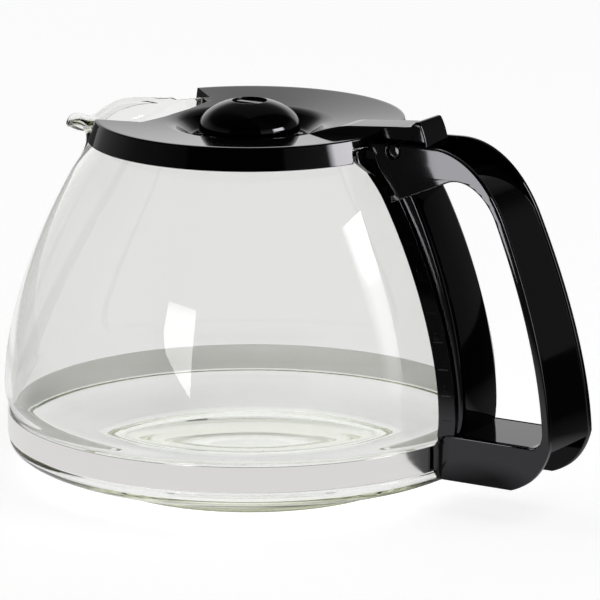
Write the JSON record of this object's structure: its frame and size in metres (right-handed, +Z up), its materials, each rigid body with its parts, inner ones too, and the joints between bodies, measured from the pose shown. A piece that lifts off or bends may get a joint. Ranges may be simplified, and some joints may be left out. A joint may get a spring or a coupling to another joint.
{
  "type": "coffee carafe",
  "caption": "Round glass coffee jug with a pouring lip, a steel band that clamps on a black loop handle, and a hinged black lid with a thumb tab and a drip dome.",
  "frame": {"origin": "middle of the jug's flat foot, on the table", "axes": "+Z up along the jug's axis, +X towards the handle, -X towards the pouring lip"},
  "size_m": [0.1913, 0.1536, 0.1197],
  "materials": {
    "glass": "clear fire-polished borosilicate glass",
    "steel": "rolled stainless strip",
    "plated_steel": "zinc plated",
    "black_plastic": "glossy moulded black",
    "lid_plastic": "satin-gloss moulded black"
  },
  "bodies": {
    "jug": {"glass_jug": "glass", "steel_band": "steel", "clamp_block": "plated_steel", "band_screw": "plated_steel", "handle": "black_plastic"},
    "lid": {"lid": "lid_plastic", "drip_dome": "black_plastic"}
  },
  "joints": [
    {"name": "lid_hinge", "type": "hinge", "parent": "jug", "child": "lid", "pos_m": [0.0581, 0, 0.1108], "axis": [0, 1, 0], "range_deg": [0, 80]}
  ]
}
